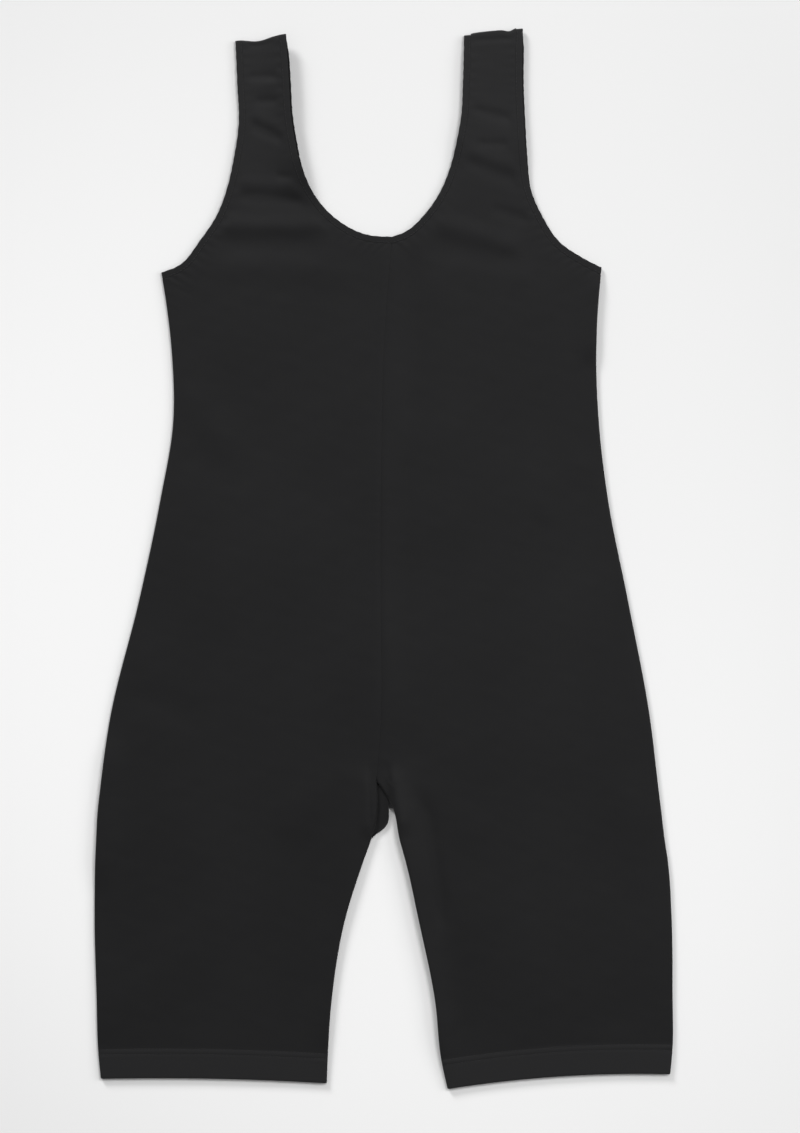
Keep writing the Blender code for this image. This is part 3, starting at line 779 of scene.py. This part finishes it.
# the stretch jersey: a matt black knit with fine upright wales
knit = {
    "darkColour": (0.0038, 0.0038, 0.0042, 1),
    "lightColour": (0.0112, 0.0112, 0.0118, 1),
    "doubled": 0.7,  # how far the hem band, where the cloth is doubled, is made to go towards the light colour
    "paintedUpperLight": 0.42,  # the same for the chest and straps: painted light, lighter towards the neck as if lit more there
    "paintedLightFrom": 0.22,  # metres towards the neck, where this painted light starts to grow
    "paintedLightTo": 0.42,
    "toneShares": (0.55, 0.2, 0.06, 0.04),  # how clouds, fibres, wales and courses lighten it
    "roughness": 0.74,
    "roughnessSpread": 0.12,
    "specular": 0.16,
    "sheen": 0.07,
    "sheenRoughness": 0.45,
    "wale": 0.00095,  # metres from one upright rib to the next
    "course": 0.00080,
    "wander": 3,  # radians that the wales wander
    "stagger": 1.2,  # radians that a course steps at each wale
    "reliefShares": (0.5, 0.3, 0.5),  # how wales, courses and fibres raise it
    "wobble": 60,  # noise scales: how the wales wander
    "cloudy": 9,  # soft clouds of dye
    "fine": 900,  # single fibres
    "bump": 0.16,
    "bumpHeight": 0.0002,
}


def clothMaterial(name, lighter=1.0, bumpShare=1.0):
    material, sockets, place = newMaterial(name)
    x, y = place.parts()
    wobble = place.noise(knit["wobble"], 2) - 0.5
    wale = (x * (2 * np.pi / knit["wale"]) + wobble * knit["wander"]).sine()
    course = (y * (2 * np.pi / knit["course"]) + wale * knit["stagger"]).sine()
    cloudy = place.noise(knit["cloudy"], 3)
    fine = place.noise(knit["fine"], 2)
    doubled = place.node("ShaderNodeAttribute", {"attribute_name": "doubled"}, {}, 2)
    # painted light: the chest and straps grow lighter towards the neck, as if lit more there
    paintedUpperLight = y.smoothstep(knit["paintedLightFrom"], knit["paintedLightTo"])
    tone = knit["toneShares"]
    toneWithPaintedLight = cloudy * tone[0] + fine * tone[1] + wale * tone[2] + course * tone[3]
    toneWithPaintedLight = toneWithPaintedLight + knit["doubled"] * doubled + knit["paintedUpperLight"] * paintedUpperLight
    dark = (*(lighter * part for part in knit["darkColour"][:3]), 1)
    light = (*(lighter * part for part in knit["lightColour"][:3]), 1)
    toneWithPaintedLight.mix(dark, light).into(sockets["Base Color"])
    rough = knit["roughness"] + (fine - 0.5) * knit["roughnessSpread"]
    rough.into(sockets["Roughness"])
    raised = knit["reliefShares"]
    relief = wale * raised[0] + course * raised[1] + fine * raised[2]
    strength = knit["bump"] * bumpShare
    bump = {"Strength": strength, "Distance": knit["bumpHeight"], "Height": relief}
    place.node("ShaderNodeBump", {}, bump).into(sockets["Normal"])
    sockets["Specular IOR Level"].default_value = knit["specular"]
    sockets["Sheen Weight"].default_value = knit["sheen"]
    sockets["Sheen Roughness"].default_value = knit["sheenRoughness"]
    return material


def threadMaterial():
    material, sockets, place = newMaterial("blackThread")
    grain = place.noise(stitching["grain"], 2)
    grain.mix(stitching["darkColour"], stitching["lightColour"]).into(sockets["Base Color"])
    sockets["Roughness"].default_value = stitching["roughness"]
    sockets["Specular IOR Level"].default_value = stitching["specular"]
    return material


print("materials")
panelKnit = clothMaterial("blackJersey")
edgingKnit = clothMaterial("blackJerseyOverElastic", lighter=0.97, bumpShare=1.3)
threadBlack = threadMaterial()

print("panels")
halves = {}
shapes = {"hem": [], "edging": []}
for sideName, sections, side in (("right", rightSections, -1), ("left", leftSections, 1)):
    for layer in ("front", "back"):
        half = makeHalf(sections, side, layer == "back")
        halves[layer, sideName] = half
        outer, inner, fromHem = panelSurfaces(half)
        name = f"{layer}_{sideName}"
        shape = wallShape(outer, inner)
        pale = 1 - smooth((fromHem - garment["hemDepth"] + 1) / garment["hemTone"])
        doubled = np.tile(pale.ravel(), 2)
        piece = addPiece(f"{name}_cloth", *shape, panelKnit, "stretch_knit", doubled)
        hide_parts(name)
        upwards = -1.0 if layer == "back" else 1.0
        shapes["hem"] += [stitchShape(*path) for path in hemPaths(outer, fromHem, upwards)]

print("edgings")
rings = {
    "neck_edging": neckFrames(halves),
    "armhole_edging_right": armholeFrames(halves["front", "right"], halves["back", "right"]),
    "armhole_edging_left": armholeFrames(halves["front", "left"], halves["back", "left"]),
}
for name, frames in rings.items():
    piece = addPiece(f"{name}_band", *edgingShape(frames), edgingKnit, "elastic_edging")
    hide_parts(name)
    middle, half, rise = frames
    path = nudged(middle) + edging["stitchAt"] * half + edging["stitchHeight"] * rise
    shapes["edging"].append(stitchShape(path, rise))

print("stitching")
for name, slotName in (("hem", "stretch_knit"), ("edging", "elastic_edging")):
    addPiece(f"{name}_stitching", *joined(shapes[name]), threadBlack, slotName)

# the pale floor, seen from straight above, with painted light and shade in its tone
studio = {
    "floorNear": (0.82, 0.82, 0.82, 1),  # towards the hems, where less light falls
    "floorFar": (0.63, 0.63, 0.63, 1),
    "toneSpan": (-0.5, 0.62),  # of y and half of x, from the near tone to the far one
    "floorVignetteShade": (0.95, 0.95, 0.95, 1),  # painted shade: a vignette that darkens it away from the garment
    "vignetteSpan": (0.25, 1.0),  # of 4 x x + 2 y y, where that darkening grows
    "floorRoughness": 0.9,
    "floorSpecular": 0.1,
    "floorSize": 9.0,
    "floorDrop": 0.0003,
    "world": 0.30,
    "photoWidth": 0.680,  # metres of floor across the picture
    "photoHeight": 0.963,
    "centre": (0.0136, -0.0064),
    "distance": 3.2,
}
# lights: name, place, size, power
softLights = [
    ("keySoftbox", (-2.3, 3.7, 2.0), 1.3, 190),
    ("rightSoftbox", (3.2, 0.6, 1.9), 1.6, 46),
    ("highSoftbox", (1.1, 1.2, 2.6), 1.2, 50),
]


def addFloor():
    material, sockets, place = newMaterial("paleFloor")
    x, y = place.parts()
    # painted light and shade: the floor is lighter towards the hems and darker towards the far side,
    # shaping how the lamps light it
    tone = (y + 0.5 * x).smoothstep(*studio["toneSpan"]).mix(studio["floorNear"], studio["floorFar"])
    # painted shade: a vignette, darker away from the garment
    rim = (4 * x * x + 2 * y * y).smoothstep(*studio["vignetteSpan"])
    rim.mix(tone, studio["floorVignetteShade"], "MULTIPLY").into(sockets["Base Color"])
    sockets["Roughness"].default_value = studio["floorRoughness"]
    sockets["Specular IOR Level"].default_value = studio["floorSpecular"]
    bpy.ops.mesh.primitive_plane_add(size=studio["floorSize"], location=(0, 0, -studio["floorDrop"]))
    floor = bpy.context.object
    floor.name = "studioFloor"
    floor.data.materials.append(material)


def addLights():
    world = bpy.data.worlds.new("softWhite")
    world.use_nodes = True
    world.node_tree.nodes["Background"].inputs["Color"].default_value = (1, 1, 1, 1)
    world.node_tree.nodes["Background"].inputs["Strength"].default_value = studio["world"]
    bpy.context.scene.world = world
    for name, place, size, power in softLights:
        light = bpy.data.lights.new(name, "AREA")
        light.size = size
        light.energy = power
        lamp = bpy.data.objects.new(name, light)
        lamp.location = place
        lamp.rotation_euler = Vector(place).to_track_quat("Z", "Y").to_euler()
        lamp.visible_camera = False
        bpy.context.scene.collection.objects.link(lamp)


def addCamera():
    lens = bpy.data.cameras.new("photoCamera")
    lens.sensor_width = 36
    lens.lens = lens.sensor_width * studio["distance"] / studio["photoHeight"]
    camera = bpy.data.objects.new("photoCamera", lens)
    camera.location = (*studio["centre"], studio["distance"])
    bpy.context.scene.collection.objects.link(camera)
    bpy.context.scene.camera = camera


print("floor, lights and camera")
addFloor()
addLights()
addCamera()
bpy.context.scene.view_settings.view_transform = "Standard"
